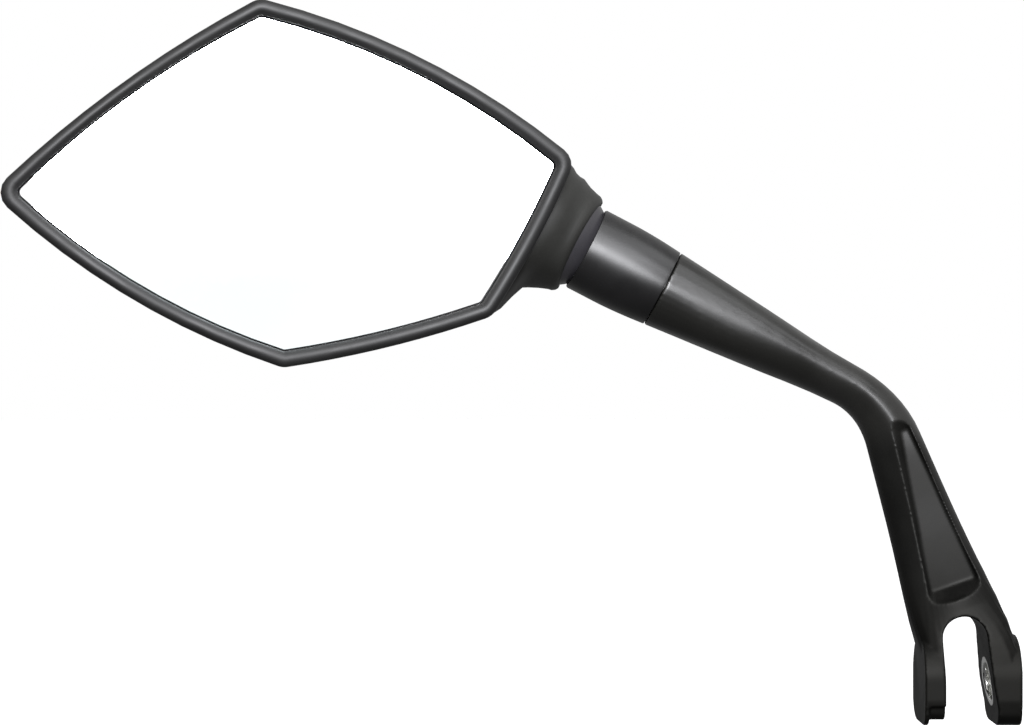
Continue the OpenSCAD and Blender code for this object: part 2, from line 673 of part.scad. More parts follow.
// Neck sections along the stem's axis: [place, shift, half width, half depth, share of the lip's slope]
neck_tab = [
    [lip_w, 0, collar_r - 1.6, collar_r - 1.6, 1],
    [lip_w - 0.5, 0, collar_r - 0.8, collar_r - 0.8, 1],
    [lip_w - 1.4, 0, collar_r - 0.2, collar_r - 0.2, 0.95],
    [lip_w - 2.6, 0, collar_r + 0.05, collar_r, 0.8],
    [lip_w * 0.35, 0.1, collar_r + 0.9, collar_r + 0.9, 0.5],
    [0, 0.1, neck_r - 0.1, neck_r, 0],
    [-1.4, 0.5, neck_r + 0.3, neck_r + 0.6, 0],
    [-2.8, 2.1, neck_r + 2.3, neck_r + 1.2, 0],
    [-4.2, 4, neck_r + 5.1, neck_r + 1.5, 0],
    [-5.8, 5.1, neck_r + 6.8, neck_r + 1.7, 0],
    [-9, 5.6, neck_r + 7.6, neck_r + 2, 0],
    [-18, 5.4, neck_r + 7.2, neck_r + 1.8, 0],
    [-27, 5, neck_r + 5, neck_r - 0.6, 0],
    [-38, 4, neck_r + 1, neck_r - 5, 0]];
neck_points = 48;

function neck_ring(t, inset) = [for (i = [0:neck_points - 1])
    let (a = 360 * i / neck_points, p = 2 + 1.5 * min(max(-t[0] / 10, 0), 1),
        r = (abs(cos(a) / (t[2] - inset)) ^ p + abs(sin(a) / (t[3] - inset)) ^ p) ^ (-1 / p), y = r * sin(a))
    [t[1] + r * cos(a), y, t[0] - t[4] * abs(y) * tan(lip_cut)]];

module neck_form() {
    capped_skin([for (t = neck_tab) neck_ring(t, 0)], [0, 0, lip_w],
        [neck_tab[len(neck_tab) - 1][1], 0, neck_tab[len(neck_tab) - 1][0]]);
}

// Hollow of the neck, from behind the ball into the shell
module neck_hollow() {
    tab = concat([[-3, 0, neck_r - 0.6 + wall, neck_r - 0.6 + wall, 0], [-4.6, 0.4, neck_r + 2, neck_r + 0.8, 0]],
        [for (i = [9:len(neck_tab) - 2]) neck_tab[i]], [[-36, 4.2, neck_r + 1.7, neck_r - 4.3, 0]]);
    capped_skin([for (t = tab) neck_ring(t, wall)], [0, 0, -3], [4.2, 0, -36]);
}

module clamp_bosses() {
    difference() {
        for (side = [-1, 1]) translate([side * clamp_reach, 0, boss_top]) cylinder(r = boss_r, h = -2.5 - boss_top);
        sphere(r = cup_out + 0.4, $fn = 96);
    }
}

module clamp_holes() {
    for (side = [-1, 1]) translate([side * clamp_reach, 0, boss_top - 1])
        cylinder(r = clamp_screw_r + 0.02, h = -6.6 - boss_top + 1);
}

module posts() {
    for (q = post_spots) translate([q[0], carrier_back + seat_fit, q[1]]) rotate([-90, 0, 0])
        cylinder(r = post_r, h = shell_h_neck);
}

module post_holes() {
    for (q = post_spots) translate([q[0], carrier_back - 1, q[1]]) rotate([-90, 0, 0])
        cylinder(r = post_screw_r + 0.02, h = 11);
}

module housing() {
    color(black_plastic) difference() {
        union() {
            difference() {
                union() {
                    on_head() shell_form(0, 0);
                    on_stem() neck_form();
                }
                on_head() shell_form(wall, 1);
                on_stem() neck_hollow();
            }
            on_head() intersection() {
                posts();
                shell_form(wall / 2, 1);
            }
            on_clamp() clamp_bosses();
        }
        on_stem() sphere(r = socket_r, $fn = 96);
        on_clamp() clamp_holes();
        on_head() post_holes();
    }
}

// Half-round bezel with a tongue behind it that enters the shell
rim_profile = concat(
    [[0, 0]],
    [for (i = [0:7])
        let (a = 180 * i / 7, half = rim_w / 2)
        [half - half * cos(a), -(rim_h - half) - half * sin(a)]],
    [[rim_w, carrier_back + part_y - carrier_t - 0.2], [tongue_in + tongue_t, carrier_back + part_y - carrier_t - 0.2],
        [tongue_in + tongue_t, tongue_h], [tongue_in, tongue_h], [tongue_in, 0]]);

module rim() {
    color(black_plastic) on_head() closed_band([for (q = rim_profile)
        [for (p = outline(q[0])) [p[0], -part_y + q[1], p[1]]]]);
}

// Flat plate with the head's outline drawn in, between two planes
module plate(inset, y0, y1) {
    translate([0, y1, 0]) rotate([90, 0, 0]) linear_extrude(y1 - y0) polygon(outline(inset));
}

module mirror_glass() {
    color([0.85, 0.92, 0.94]) on_head() plate(rim_w + glass_gap, glass_front, glass_back);
}

module glass_pad() {
    color([0.2, 0.2, 0.2]) on_head() plate(rim_w + glass_gap + 1.5, glass_back, pad_back);
}

module screw_seats(extra) {
    for (q = post_spots) translate([q[0], pad_back - extra, q[1]]) rotate([-90, 0, 0]) {
        cylinder(r1 = 2 * post_screw_r + extra, r2 = post_screw_r + extra, h = carrier_t * 0.7 + extra);
        cylinder(r = post_screw_r + extra, h = carrier_t + extra + 1);
    }
}

module glass_carrier() {
    color(black_plastic) on_head() difference() {
        plate(carrier_in, pad_back, carrier_back);
        screw_seats(0.05);
    }
}

module carrier_screws() {
    color(steel) on_head() for (q = post_spots) translate([q[0], pad_back + 0.05, q[1]]) rotate([-90, 0, 0])
        difference() {
            rotate_extrude() polygon([[0, 0], [2 * post_screw_r - 0.12, 0], [post_screw_r, carrier_t * 0.62],
                [post_screw_r, 9], [post_screw_r * 0.4, 10], [0, 10]]);
            for (a = [0, 90]) rotate([0, 0, a]) translate([-1.4, -0.3, -1]) cube([2.8, 0.6, 1.7]);
        }
}

module ball_clamp() {
    color(zinc) on_clamp() difference() {
        union() {
            difference() {
                sphere(r = cup_out, $fn = 96);
                translate([-2 * ball_r, -2 * ball_r, cup_mouth]) cube(4 * ball_r);
                translate([-2 * ball_r, -2 * ball_r, bridge_back - 4 * ball_r]) cube(4 * ball_r);
            }
            intersection() {
                translate([0, 0, bridge_back]) union() {
                    translate([-clamp_reach, -bridge_w / 2, 0]) cube([2 * clamp_reach, bridge_w, bridge_t]);
                    for (side = [-1, 1]) translate([side * clamp_reach, 0, 0]) cylinder(r = lug_r, h = bridge_t);
                }
                translate([0, 0, bridge_back]) cylinder(r = clamp_reach + lug_r, h = bridge_t);
            }
        }
        sphere(r = cup_in, $fn = 96);
        translate([0, 0, -2 * ball_r]) cylinder(r = pole_hole, h = 2 * ball_r);
        for (side = [-1, 1]) translate([side * clamp_reach, 0, bridge_back - 1])
            cylinder(r = clamp_screw_r + 0.2, h = 2 * ball_r);
    }
}

module clamp_screws() {
    color(steel) on_clamp() for (side = [-1, 1]) translate([side * clamp_reach, 0, 0]) difference() {
        rotate_extrude() polygon([[0, clamp_head_w - clamp_head_h], [1.9, clamp_head_w - clamp_head_h],
            [2.3, clamp_head_w - clamp_head_h * 0.6], [2.3, clamp_head_w], [clamp_screw_r, clamp_head_w],
            [clamp_screw_r, -7.6], [clamp_screw_r * 0.5, -6.8], [0, -6.8]]);
        for (a = [0, 90]) rotate([0, 0, a]) translate([-1.3, -0.3, clamp_head_w - clamp_head_h - 1])
            cube([2.6, 0.6, 1.8]);
    }
}

// One round-wire coil standing on Z = 0
module coil(mean_r, wire, height, turns) {
    steps = 10 * turns;
    rings = [for (i = [0:steps])
        let (a = 360 * turns * i / steps, z = wire + (height - 2 * wire) * i / steps)
        [for (j = [0:5]) let (b = 60 * j, r = mean_r + wire * cos(b)) [r * cos(a), r * sin(a), z + wire * sin(b)]]];
    capped_skin(rings, [mean_r, 0, wire], [mean_r, 0, height - wire]);
}

module clamp_springs() {
    color(steel) on_clamp() for (side = [-1, 1])
        translate([side * clamp_reach, 0, spring_from - spring_l]) coil(1.9, wire_r, spring_l, spring_turns);
}

module clamp_washers() {
    color(steel) on_clamp() for (side = [-1, 1])
        translate([side * clamp_reach, 0, bridge_back - seat_fit - clamp_washer_t])
            ring(2.5, clamp_screw_r + 0.15, clamp_washer_t);
}

arm();
screw_insert();
swivel_bush();
stop_pin();
swivel_screw();
pressure_washer();
disc_springs();
upper_stem();
seam_seal();
thrust_washer();
ball_liner();
housing();
rim();
mirror_glass();
glass_pad();
glass_carrier();
carrier_screws();
ball_clamp();
clamp_screws();
clamp_springs();
clamp_washers();
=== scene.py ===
"""Motorcycle mirror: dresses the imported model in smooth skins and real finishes, lights it and frames it."""

import json
import logging
import math
from dataclasses import dataclass, field
from enum import Enum

import bmesh
import bpy
from mathutils import Matrix, Vector


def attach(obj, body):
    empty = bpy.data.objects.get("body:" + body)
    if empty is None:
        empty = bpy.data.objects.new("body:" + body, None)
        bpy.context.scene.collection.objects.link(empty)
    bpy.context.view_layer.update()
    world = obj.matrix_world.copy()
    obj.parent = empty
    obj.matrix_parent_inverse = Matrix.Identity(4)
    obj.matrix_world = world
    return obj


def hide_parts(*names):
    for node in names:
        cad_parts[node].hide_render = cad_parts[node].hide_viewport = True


LOG = logging.getLogger("mirror")
MM = 0.001
MERGE_REACH = 0.002 * MM
QUARTER_TURN = 90
DUST_COLOUR = (0.3, 0.29, 0.27, 1.0)
BARE_METAL_COLOUR = (0.78, 0.78, 0.76, 1.0)
WHITE = (1, 1, 1, 1)
Colour = tuple[float, float, float]
Point = tuple[float, float, float]


class Body(Enum):
    """The CAD bodies that new pieces ride on."""

    ARM = "arm"
    STEM = "stem"
    HEAD = "head"


class Graph:
    """Adds and links the nodes of one node tree."""

    def __init__(self, tree: bpy.types.NodeTree) -> None:
        """Starts on a tree.

        Args:
            tree: the node tree to build in.
        """
        self.tree = tree

    def add(self, kind: str, **settings: object) -> bpy.types.Node:
        """Adds a node and sets its own properties.

        Args:
            kind: the node's type name.
            settings: properties of the node.

        Returns:
            The new node.
        """
        node = self.tree.nodes.new(kind)
        for name, value in settings.items():
            setattr(node, name, value)
        return node

    def feed(
        self, node: bpy.types.Node, values: dict[str | int, object]
    ) -> bpy.types.Node:
        """Sets a node's inputs: a socket is linked, and a plain value is set.

        Args:
            node: the node to feed.
            values: what goes into each input, by its name or place.

        Returns:
            The same node.
        """
        for key, value in values.items():
            if isinstance(value, bpy.types.NodeSocket):
                self.tree.links.new(value, node.inputs[key])
            else:
                node.inputs[key].default_value = value
        return node

    def math(self, operation: str, first: object, second: object = 0.0) -> bpy.types.NodeSocket:
        """Adds a sum, product or other plain operation on two values.

        Args:
            operation: the operation's name.
            first: the first value or socket.
            second: the second value or socket.

        Returns:
            The result's socket.
        """
        node = self.add("ShaderNodeMath", operation=operation)
        return self.feed(node, {0: first, 1: second}).outputs[0]

    def ramp(
        self, value: object, low: float, high: float, start: object = 0.0, end: object = 1.0
    ) -> bpy.types.NodeSocket:
        """Maps a value from one range to another with soft ends.

        Args:
            value: the value or socket to map.
            low: the value that gives start.
            high: the value that gives end.
            start: the result at low.
            end: the result at high.

        Returns:
            The mapped socket.
        """
        node = self.add("ShaderNodeMapRange", interpolation_type="SMOOTHSTEP")
        span = {"From Min": low, "From Max": high, "To Min": start, "To Max": end}
        self.feed(node, {"Value": value, **span})
        return node.outputs[0]

    def blend(self, share: object, first: object, second: object) -> bpy.types.NodeSocket:
        """Mixes two colours.

        Args:
            share: how much of the second colour shows.
            first: the first colour or socket.
            second: the second colour or socket.

        Returns:
            The mixed colour's socket.
        """
        node = self.add("ShaderNodeMix", data_type="RGBA")
        self.feed(node, {0: share, 6: first, 7: second})
        return node.outputs[2]

    def noise(self, vector: object, scale: object, detail: float, **more: float) -> bpy.types.NodeSocket:
        """Adds a noise.

        Args:
            vector: the coordinates' socket.
            scale: how fine the noise is, as a value or socket.
            detail: how many finer layers it has.
            more: other inputs of the node by name.

        Returns:
            The noise's value.
        """
        node = self.add("ShaderNodeTexNoise")
        return self.feed(node, {"Vector": vector, "Scale": scale, "Detail": detail, **more}).outputs[0]

    def relief(self, strength: float, depth: float, height: object) -> bpy.types.NodeSocket:
        """Adds a bump.

        Args:
            strength: how much of it shows.
            depth: its depth in metres.
            height: the height's socket.

        Returns:
            The bumped normal.
        """
        node = self.add("ShaderNodeBump")
        return self.feed(node, {"Strength": strength, "Distance": depth, "Height": height}).outputs[0]

    def split(self, vector: object) -> bpy.types.bpy_prop_collection:
        """Splits a vector into its parts.

        Args:
            vector: the vector's socket.

        Returns:
            The sockets X, Y and Z.
        """
        return self.feed(self.add("ShaderNodeSeparateXYZ"), {0: vector}).outputs


class GroupLibrary:
    """Node groups that several finishes share, each made once."""

    grain_details: dict[str, float] = {"Fine": 2.0, "Coarse": 1.0, "Patch": 4.0}
    fine_share: float = 0.4
    patch_range: tuple[float, float] = (0.32, 0.68)
    dust_scale: float = 420.0
    dust_detail: float = 6.0
    dust_break: float = 0.7
    dust_facing: tuple[float, float] = (0.2, 1.0)
    dust_clumps: tuple[float, float] = (0.4, 0.75)

    def __init__(self) -> None:
        """Starts with no group made."""
        self._made: dict[str, bpy.types.NodeTree] = {}

    def _start(
        self, name: str, inputs: dict[str, str], outputs: dict[str, str]
    ) -> tuple[Graph, bpy.types.Node, bpy.types.Node]:
        """Makes an empty group with its sockets.

        Args:
            name: the group's name.
            inputs: socket types of the inputs by name.
            outputs: socket types of the outputs by name.

        Returns:
            The group's graph, its input node and its output node.
        """
        tree = bpy.data.node_groups.new(name, "ShaderNodeTree")
        for label, kind in inputs.items():
            tree.interface.new_socket(name=label, in_out="INPUT", socket_type=kind)
        for label, kind in outputs.items():
            tree.interface.new_socket(name=label, in_out="OUTPUT", socket_type=kind)
        graph = Graph(tree)
        self._made[name] = tree
        return graph, graph.add("NodeGroupInput"), graph.add("NodeGroupOutput")

    def grain(self) -> bpy.types.NodeTree:
        """Surface grain: a bump height from fine and coarse noise, and a slow patchiness.

        Returns:
            The group.
        """
        if "surface_grain" in self._made:
            return self._made["surface_grain"]
        graph, source, out = self._start(
            "surface_grain",
            {
                "Vector": "NodeSocketVector", "Fine": "NodeSocketFloat",
                "Coarse": "NodeSocketFloat", "Patch": "NodeSocketFloat",
            },
            {"Height": "NodeSocketFloat", "Patches": "NodeSocketFloat"},
        )
        vector = source.outputs["Vector"]
        fine, coarse, patch = (
            graph.noise(vector, source.outputs[scale], detail) for scale, detail in self.grain_details.items()
        )
        peel = graph.math("MULTIPLY", coarse, 1 - self.fine_share)
        height = graph.math("ADD", graph.math("MULTIPLY", fine, self.fine_share), peel)
        graph.feed(out, {"Height": height, "Patches": graph.ramp(patch, *self.patch_range)})
        return graph.tree

    def dust(self) -> bpy.types.NodeTree:
        """A thin film of dust on what faces up, broken up by noise.

        Returns:
            The group.
        """
        if "settled_dust" in self._made:
            return self._made["settled_dust"]
        graph, source, out = self._start(
            "settled_dust",
            {"Vector": "NodeSocketVector", "Amount": "NodeSocketFloat"},
            {"Film": "NodeSocketFloat"},
        )
        noise = graph.noise(
            source.outputs["Vector"], self.dust_scale, self.dust_detail, Roughness=self.dust_break
        )
        normal = graph.split(graph.add("ShaderNodeNewGeometry").outputs["Normal"])
        facing = graph.ramp(normal["Z"], *self.dust_facing)
        broken = graph.math("MULTIPLY", facing, graph.ramp(noise, *self.dust_clumps))
        graph.feed(out, {"Film": graph.math("MULTIPLY", broken, source.outputs["Amount"])})
        return graph.tree


GROUPS = GroupLibrary()


def start_material(
    name: str,
) -> tuple[bpy.types.Material, Graph, bpy.types.Node, bpy.types.NodeSocket]:
    """Makes an empty material with its shader and object coordinates.

    Args:
        name: the material's name.

    Returns:
        The material, its graph, its Principled node and the object coordinates.
    """
    material = bpy.data.materials.new(name)
    material.use_nodes = True
    material.node_tree.nodes.clear()
    graph = Graph(material.node_tree)
    shader = graph.add("ShaderNodeBsdfPrincipled")
    graph.feed(graph.add("ShaderNodeOutputMaterial"), {"Surface": shader.outputs[0]})
    return material, graph, shader, graph.add("ShaderNodeTexCoord").outputs["Object"]


def opaque(colour: Colour, level: float = 1.0) -> tuple[float, float, float, float]:
    """Turns a colour into one with alpha, brighter or darker by a level.

    Args:
        colour: the plain colour.
        level: what it is multiplied by.

    Returns:
        The colour with alpha 1.
    """
    return (colour[0] * level, colour[1] * level, colour[2] * level, 1.0)


@dataclass(frozen=True)
class CoatedFinish:
    """Paint, plastic, foam or rubber: a dielectric with grain, patchy gloss and a little dust.

    bare_radius is the radius about the pivot bore inside which the coat is cut back to metal, or 0
    for a whole coat. Only with it do the other bare values and the painted-shade ones count: from a
    given height down the leg, and again down to foot_top, the coat's reflection is cut back and its
    roughness raised, as painted shade that darkens the foot.
    """

    name: str
    colour: Colour
    roughness: float
    sheen_swing: float = 0.05
    tone_swing: float = 0.15
    fine: float = 2600.0
    coarse: float = 620.0
    patch: float = 55.0
    bump: float = 0.15
    depth: float = 0.06 * MM
    dust: float = 0.02
    ior: float = 1.5
    bare_radius: float = 0.0
    bare_gloss: float = 0.08
    bare_fade: float = 0.25 * MM
    bare_wobble: float = 0.5 * MM
    wobble_scale: float = 700.0
    wobble_detail: float = 3.0
    ear_face: tuple[float, float] = (9.2 * MM, 9.0 * MM)
    bore_wall: tuple[float, float] = (5.95 * MM, 5.8 * MM)
    blind_ear: tuple[float, float] = (0.0, 1 * MM)
    dull_below: float = 0.0
    shade_share: float = 0.9
    shade_roughness: float = 0.25
    leg_share: float = 0.72
    leg_fade: float = 12 * MM
    foot_drop: float = 30 * MM
    foot_top: float = 14 * MM

    def build(self) -> bpy.types.Material:
        """Makes the material.

        Returns:
            The finished material.
        """
        material, graph, shader, coords = start_material(self.name)
        grain = graph.add("ShaderNodeGroup", node_tree=GROUPS.grain())
        scales = {"Fine": self.fine, "Coarse": self.coarse, "Patch": self.patch}
        graph.feed(grain, {"Vector": coords, **scales})
        film = graph.add("ShaderNodeGroup", node_tree=GROUPS.dust())
        graph.feed(film, {"Vector": coords, "Amount": self.dust})
        patches = grain.outputs["Patches"]
        low, high = (opaque(self.colour, 1 + swing) for swing in (-self.tone_swing, self.tone_swing))
        tone = graph.blend(film.outputs["Film"], graph.blend(patches, low, high), DUST_COLOUR)
        smooth, rough = self.roughness - self.sheen_swing, self.roughness + self.sheen_swing
        gloss = graph.ramp(patches, 0, 1, smooth, rough)
        if self.bare_radius:
            bare = self._bare_mask(graph, coords)
            tone = graph.blend(bare, tone, BARE_METAL_COLOUR)
            # Painted shade: toward the foot the coat turns metallic over its dark colour, which cuts its
            # reflection, and grows rougher, so the foot reads darker.
            dull = self._painted_shade_mask(graph, coords)
            gloss = graph.math("ADD", gloss, graph.math("MULTIPLY", dull, self.shade_roughness))
            polish = graph.math("MULTIPLY", bare, self.bare_gloss + self.shade_roughness)
            gloss = graph.math("SUBTRACT", gloss, polish)
            graph.feed(shader, {"Metallic": graph.math("MAXIMUM", bare, dull)})
        bump = graph.relief(self.bump, self.depth, grain.outputs["Height"])
        graph.feed(shader, {"Base Color": tone, "Roughness": gloss, "Normal": bump, "IOR": self.ior})
        return material

    def _painted_shade_mask(self, graph: Graph, coords: bpy.types.NodeSocket) -> bpy.types.NodeSocket:
        """How much painted shade the coat takes, as less reflection and more roughness: none at the top of the
        leg, most of it at the foot.

        Args:
            graph: the material's graph.
            coords: object coordinates.

        Returns:
            0 where the coat keeps its full reflection, up to its largest share where the painted shade is
            deepest.
        """
        height = graph.split(coords)["Z"]
        top, leg_share = self.dull_below, self.leg_share * self.shade_share
        foot_share = (1 - self.leg_share) * self.shade_share
        leg = graph.ramp(height, top, top - self.leg_fade, 0.0, leg_share)
        foot = graph.ramp(height, top - self.foot_drop, self.foot_top, 0.0, foot_share)
        return graph.math("ADD", leg, foot)

    def _bare_mask(self, graph: Graph, coords: bpy.types.NodeSocket) -> bpy.types.NodeSocket:
        """Where the coat is cut away: one ear's bore and a ring on its inner face.

        Args:
            graph: the material's graph.
            coords: object coordinates.

        Returns:
            1 on bare metal and 0 on paint.
        """
        parts = graph.split(coords)
        across = graph.math("MULTIPLY", parts["Y"], parts["Y"])
        up = graph.math("MULTIPLY", parts["Z"], parts["Z"])
        radius = graph.math("SQRT", graph.math("ADD", across, up))
        wobble = graph.noise(coords, self.wobble_scale, self.wobble_detail)
        radius = graph.math("ADD", radius, graph.math("MULTIPLY", wobble, self.bare_wobble))
        ring = graph.ramp(radius, self.bare_radius, self.bare_radius - self.bare_fade)
        inner = graph.ramp(parts["X"], *self.ear_face)
        bore = graph.ramp(radius, *self.bore_wall)
        cut = graph.math("MAXIMUM", graph.math("MULTIPLY", ring, inner), bore)
        return graph.math("MULTIPLY", cut, graph.ramp(parts["X"], *self.blind_ear))


@dataclass(frozen=True)
class MetalFinish:
    """Bare or plated metal with fine tool marks that run round or along the part."""

    name: str
    colour: Colour
    roughness: float
    stretch: tuple[float, float, float] = (1.0, 1.0, 8.0)
    fine: float = 1500.0
    coarse: float = 300.0
    patch: float = 120.0
    bump: float = 0.2
    depth: float = 0.03 * MM
    low_tone: float = 0.85
    gloss_swing: float = 0.08

    def build(self) -> bpy.types.Material:
        """Makes the material.

        Returns:
            The finished material.
        """
        material, graph, shader, coords = start_material(self.name)
        lay = graph.add("ShaderNodeMapping")
        graph.feed(lay, {"Vector": coords, "Scale": self.stretch})
        grain = graph.add("ShaderNodeGroup", node_tree=GROUPS.grain())
        scales = {"Fine": self.fine, "Coarse": self.coarse, "Patch": self.patch}
        graph.feed(grain, {"Vector": lay.outputs[0], **scales})
        patches = grain.outputs["Patches"]
        tone = graph.blend(patches, opaque(self.colour, self.low_tone), opaque(self.colour))
        gloss = graph.ramp(patches, 0, 1, self.roughness + self.gloss_swing, self.roughness)
        bump = graph.relief(self.bump, self.depth, grain.outputs["Height"])
        graph.feed(shader, {"Base Color": tone, "Roughness": gloss, "Normal": bump, "Metallic": 1.0})
        return material


@dataclass(frozen=True)
class SilverFinish:
    """Silvered glass with a painted reflection: a faint cyan patch about its middle."""

    name: str = "silvered_glass"
    middle: Point = (-0.21, -0.02, 0.118)
    reach: float = 0.075
    full_reflection: float = 0.01
    edge: Colour = (0.985, 0.985, 0.985)
    # Painted reflection: the colour of the cyan patch about the middle.
    centre: Colour = (0.88, 0.965, 0.975)
    reflection_wobble_scale: float = 22.0
    reflection_wobble_detail: float = 3.0
    reflection_drift: float = 0.05
    speck_scale: float = 1400.0
    speck_detail: float = 4.0
    speck_range: tuple[float, float] = (0.55, 0.8)
    gloss: tuple[float, float] = (0.015, 0.05)

    def build(self) -> bpy.types.Material:
        """Makes the material.

        Returns:
            The finished material.
        """
        material, graph, shader, coords = start_material(self.name)
        away = graph.add("ShaderNodeVectorMath", operation="DISTANCE")
        graph.feed(away, {0: coords, 1: self.middle})
        reflection_wobble = graph.noise(coords, self.reflection_wobble_scale, self.reflection_wobble_detail)
        drift = graph.math("MULTIPLY", graph.math("SUBTRACT", reflection_wobble, 0.5), self.reflection_drift)
        distance = graph.math("ADD", away.outputs["Value"], drift)
        share = graph.ramp(distance, self.reach, self.full_reflection)
        specks = graph.noise(coords, self.speck_scale, self.speck_detail)
        gloss = graph.ramp(specks, *self.speck_range, *self.gloss)
        # Painted reflection: the glass turns faintly cyan towards its middle, with a wobbling edge.
        tone = graph.blend(share, opaque(self.edge), opaque(self.centre))
        graph.feed(shader, {"Base Color": tone, "Roughness": gloss, "Metallic": 1.0})
        return material


class Finishes:
    """All the finishes, made once and handed out by the nodes that wear them."""

    def __init__(self) -> None:
        """Makes every material."""
        # The arm's paint has bare metal at one ear's bore, and painted shade that cuts its reflection down the
        # leg and foot.
        arm_shades = {"bare_radius": 7.4 * MM, "dull_below": 77 * MM}
        shell_grain = {"fine": 1900.0, "bump": 0.3, "dust": 0.03, "ior": 1.42}
        foam_grain = {"fine": 900.0, "bump": 0.8, "depth": 0.3 * MM}
        self.arm = self._coat("arm_paint", (0.0085, 0.0083, 0.0074), 0.34, **arm_shades)
        self.stem = self._coat("stem_paint", (0.0058, 0.0056, 0.0058), 0.33)
        # Painted light: the ball's paint is lighter than the stem's, standing in for the lit bead that shows
        # between the neck's lip and the barrel.
        self.ball = self._coat("ball_paint_painted_light", (0.023, 0.022, 0.025), 0.36)
        self.shell = self._coat("shell_plastic", (0.014, 0.014, 0.0126), 0.5, **shell_grain)
        self.rim = self._coat("rim_plastic", (0.009, 0.009, 0.009), 0.54, bump=0.1)
        self.glass = SilverFinish().build()
        self.glass_edge = self._coat("glass_edge_paint", (0.01, 0.01, 0.011), 0.6, dust=0.0)
        self.foam = self._coat("pad_foam", (0.05, 0.05, 0.052), 0.9, **foam_grain)
        self.carrier = self._coat("carrier_plastic", (0.03, 0.03, 0.032), 0.5)
        self.pale = self._coat("pale_plastic", (0.68, 0.66, 0.6), 0.38, tone_swing=0.04, dust=0.0)
        self.rubber = self._coat("seal_rubber", (0.014, 0.014, 0.014), 0.75, fine=1200.0, bump=0.5)
        self.steel = self._metal("turned_steel", (0.56, 0.56, 0.57), 0.28)
        self.spring = self._metal("spring_steel", (0.42, 0.42, 0.44), 0.35, stretch=(1.0, 1.0, 2.0))
        self.bronze = self._metal("bearing_bronze", (0.72, 0.5, 0.26), 0.32)
        self.zinc = self._metal("zinc_plate", (0.66, 0.66, 0.63), 0.4, stretch=(1.0, 1.0, 1.0))

    def _coat(self, name: str, colour: Colour, roughness: float, **more: float) -> bpy.types.Material:
        """Makes a coated finish.

        Args:
            name: the material's name.
            colour: its colour.
            roughness: its mean roughness.
            more: other values of the finish by name.

        Returns:
            The finished material.
        """
        return CoatedFinish(name, colour, roughness, **more).build()

    def _metal(self, name: str, colour: Colour, roughness: float, **more: Point) -> bpy.types.Material:
        """Makes a metal finish.

        Args:
            name: the material's name.
            colour: its colour.
            roughness: its lowest roughness.
            more: other values of the finish by name.

        Returns:
            The finished material.
        """
        return MetalFinish(name, colour, roughness, **more).build()

    def by_node(self) -> dict[str, bpy.types.Material]:
        """Which finish each CAD node wears.

        Returns:
            Materials by node name.
        """
        return {
            "arm": self.arm, "upper_stem": self.stem, "housing": self.shell, "rim": self.rim,
            "mirror_glass": self.glass, "glass_pad": self.foam, "glass_carrier": self.carrier,
            "ball_liner": self.pale, "seam_seal": self.rubber, "swivel_bush": self.bronze,
            "thrust_washer": self.bronze, "screw_insert": self.steel, "stop_pin": self.steel,
            "swivel_screw": self.steel, "pressure_washer": self.steel, "disc_springs": self.spring,
            "clamp_springs": self.spring, "carrier_screws": self.steel, "clamp_screws": self.steel,
            "clamp_washers": self.steel, "ball_clamp": self.zinc,
        }


def finish_piece(
    mesh_builder: bmesh.types.BMesh, name: str, material: bpy.types.Material,
    body: Body, slot: str, *nodes: str,
) -> bpy.types.Object:
    """Turns a finished bmesh into a piece of the model.

    Args:
        mesh_builder: the geometry, in the model's own frame. It is freed.
        name: the piece's name.
        material: what it wears.
        body: the CAD body it rides on.
        slot: the record's material slot; not used.
        nodes: the CAD nodes it stands for.

    Returns:
        The new object.
    """
    bmesh.ops.recalc_face_normals(mesh_builder, faces=mesh_builder.faces)
    mesh = bpy.data.meshes.new(name)
    mesh_builder.to_mesh(mesh)
    mesh_builder.free()
    for polygon in mesh.polygons:
        polygon.use_smooth = True
    piece = bpy.data.objects.new(name, mesh)
    bpy.context.scene.collection.objects.link(piece)
    piece.data.materials.append(material)
    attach(piece, body.value)
    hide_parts(*nodes)
    LOG.info("%s: %d faces on %s", name, len(mesh.polygons), body.value)
    return piece


def carried_over(node: bpy.types.Object) -> bmesh.types.BMesh:
    """Copies a CAD node's mesh and merges the corners that its faces share.

    Args:
        node: the CAD node.

    Returns:
        The merged copy.
    """
    copy = bmesh.new()
    copy.from_mesh(node.data)
    bmesh.ops.remove_doubles(copy, verts=copy.verts, dist=MERGE_REACH)
    return copy


@dataclass
class ArmAssembly:
    """The cast arm: the CAD solid with the soft edges that casting and paint give it."""

    voxel: float = 0.42 * MM
    soften_turns: int = 4
    soften: float = 0.5

    def build(self, nodes: dict[str, bpy.types.Object], paint: bpy.types.Material) -> None:
        """Makes the arm's skin.

        Args:
            nodes: the CAD nodes by name.
            paint: the arm's paint.
        """
        solid = carried_over(nodes["arm"])
        skin = finish_piece(solid, "arm_skin", paint, Body.ARM, "cast_arm", "arm")
        voxels = skin.modifiers.new("even_cells", "REMESH")
        voxels.mode = "VOXEL"
        voxels.voxel_size = self.voxel
        voxels.use_smooth_shade = True
        relax = skin.modifiers.new("soft_edges", "SMOOTH")
        relax.factor = self.soften
        relax.iterations = self.soften_turns


